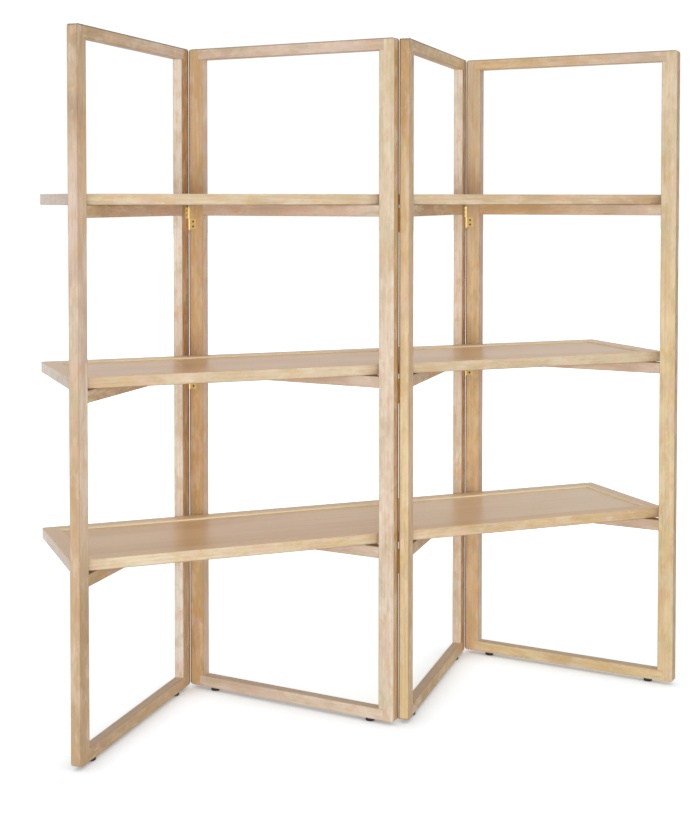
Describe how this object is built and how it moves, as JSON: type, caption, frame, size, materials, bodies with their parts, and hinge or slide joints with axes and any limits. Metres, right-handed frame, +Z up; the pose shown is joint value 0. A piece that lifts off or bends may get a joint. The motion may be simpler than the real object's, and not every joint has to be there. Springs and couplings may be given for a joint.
{
  "type": "folding bookcase",
  "caption": "Zigzag folding wooden screen of open hinged frames with long recessed-top shelf boards laid across its cross rails.",
  "frame": {"origin": "on the floor, under the centre of the overall footprint", "axes": "+X along the row to the right, +Y from the front to the back, +Z up; the front faces -Y"},
  "size_m": [1.9238, 0.5638, 2],
  "materials": {
    "frame_wood": "light natural oak, satin lacquer",
    "rim_wood": "light natural oak, satin lacquer",
    "inset_wood": "oak veneer, smooth satin lacquer",
    "brass": "polished brass, lightly dulled",
    "screw_steel": "dark bronzed steel",
    "glide_plastic": "matt black"
  },
  "bodies": {
    "centre_hinge_pins": {"centre_fold_pins": "brass"},
    "frame_2": {"frame_2_front_stile": "frame_wood", "frame_2_back_stile": "frame_wood", "frame_2_top_rail": "frame_wood", "frame_2_bottom_rail": "frame_wood", "frame_2_lower_rail": "frame_wood", "frame_2_middle_rail": "frame_wood", "frame_2_upper_rail": "frame_wood", "frame_2_glides": "glide_plastic", "centre_fold_lower_leaves": "brass", "centre_fold_lower_screws": "screw_steel", "left_fold_lower_leaves": "brass", "left_fold_lower_screws": "screw_steel", "left_fold_pins": "brass"},
    "frame_3": {"frame_3_front_stile": "frame_wood", "frame_3_back_stile": "frame_wood", "frame_3_top_rail": "frame_wood", "frame_3_bottom_rail": "frame_wood", "frame_3_lower_rail": "frame_wood", "frame_3_middle_rail": "frame_wood", "frame_3_upper_rail": "frame_wood", "frame_3_glides": "glide_plastic", "centre_fold_upper_leaves": "brass", "centre_fold_upper_screws": "screw_steel", "right_fold_upper_leaves": "brass", "right_fold_upper_screws": "screw_steel"},
    "frame_1": {"frame_1_front_stile": "frame_wood", "frame_1_back_stile": "frame_wood", "frame_1_top_rail": "frame_wood", "frame_1_bottom_rail": "frame_wood", "frame_1_lower_rail": "frame_wood", "frame_1_middle_rail": "frame_wood", "frame_1_upper_rail": "frame_wood", "frame_1_glides": "glide_plastic", "left_fold_upper_leaves": "brass", "left_fold_upper_screws": "screw_steel"},
    "frame_4": {"frame_4_front_stile": "frame_wood", "frame_4_back_stile": "frame_wood", "frame_4_top_rail": "frame_wood", "frame_4_bottom_rail": "frame_wood", "frame_4_lower_rail": "frame_wood", "frame_4_middle_rail": "frame_wood", "frame_4_upper_rail": "frame_wood", "frame_4_glides": "glide_plastic", "right_fold_lower_leaves": "brass", "right_fold_lower_screws": "screw_steel", "right_fold_pins": "brass"},
    "lower_board": {"lower_board_front_rim": "rim_wood", "lower_board_back_rim": "rim_wood", "lower_board_end_rims": "rim_wood", "lower_board_inset": "inset_wood"},
    "middle_board": {"middle_board_front_rim": "rim_wood", "middle_board_back_rim": "rim_wood", "middle_board_end_rims": "rim_wood", "middle_board_inset": "inset_wood"},
    "upper_board": {"upper_board_front_rim": "rim_wood", "upper_board_back_rim": "rim_wood", "upper_board_end_rims": "rim_wood", "upper_board_inset": "inset_wood"}
  },
  "joints": [
    {"name": "fold", "type": "hinge", "parent": "centre_hinge_pins", "child": "frame_2", "pos_m": [0, -0.26299, 0], "axis": [0, 0, -1], "range_deg": [0, 40]},
    {"name": "centre_fold_right", "type": "hinge", "parent": "centre_hinge_pins", "child": "frame_3", "pos_m": [0, -0.26299, 0], "axis": [0, 0, 1], "range_deg": [0, 40]},
    {"name": "left_fold", "type": "hinge", "parent": "frame_2", "child": "frame_1", "pos_m": [-0.4813, 0.26299, 0], "axis": [0, 0, 1], "range_deg": [0, 80]},
    {"name": "right_fold", "type": "hinge", "parent": "frame_3", "child": "frame_4", "pos_m": [0.4813, 0.26299, 0], "axis": [0, 0, -1], "range_deg": [0, 80]},
    {"name": "lower_board_slide", "type": "slide", "parent": "centre_hinge_pins", "child": "lower_board", "axis": [1, 0, 0], "range_m": [0, 1.933]},
    {"name": "middle_board_slide", "type": "slide", "parent": "centre_hinge_pins", "child": "middle_board", "axis": [1, 0, 0], "range_m": [0, 1.933]},
    {"name": "upper_board_slide", "type": "slide", "parent": "centre_hinge_pins", "child": "upper_board", "axis": [1, 0, 0], "range_m": [0, 1.933]}
  ],
  "couplings": [
    {"joint": "centre_fold_right", "follows": "fold", "ratio": 1},
    {"joint": "left_fold", "follows": "fold", "ratio": 2},
    {"joint": "right_fold", "follows": "fold", "ratio": 2}
  ]
}
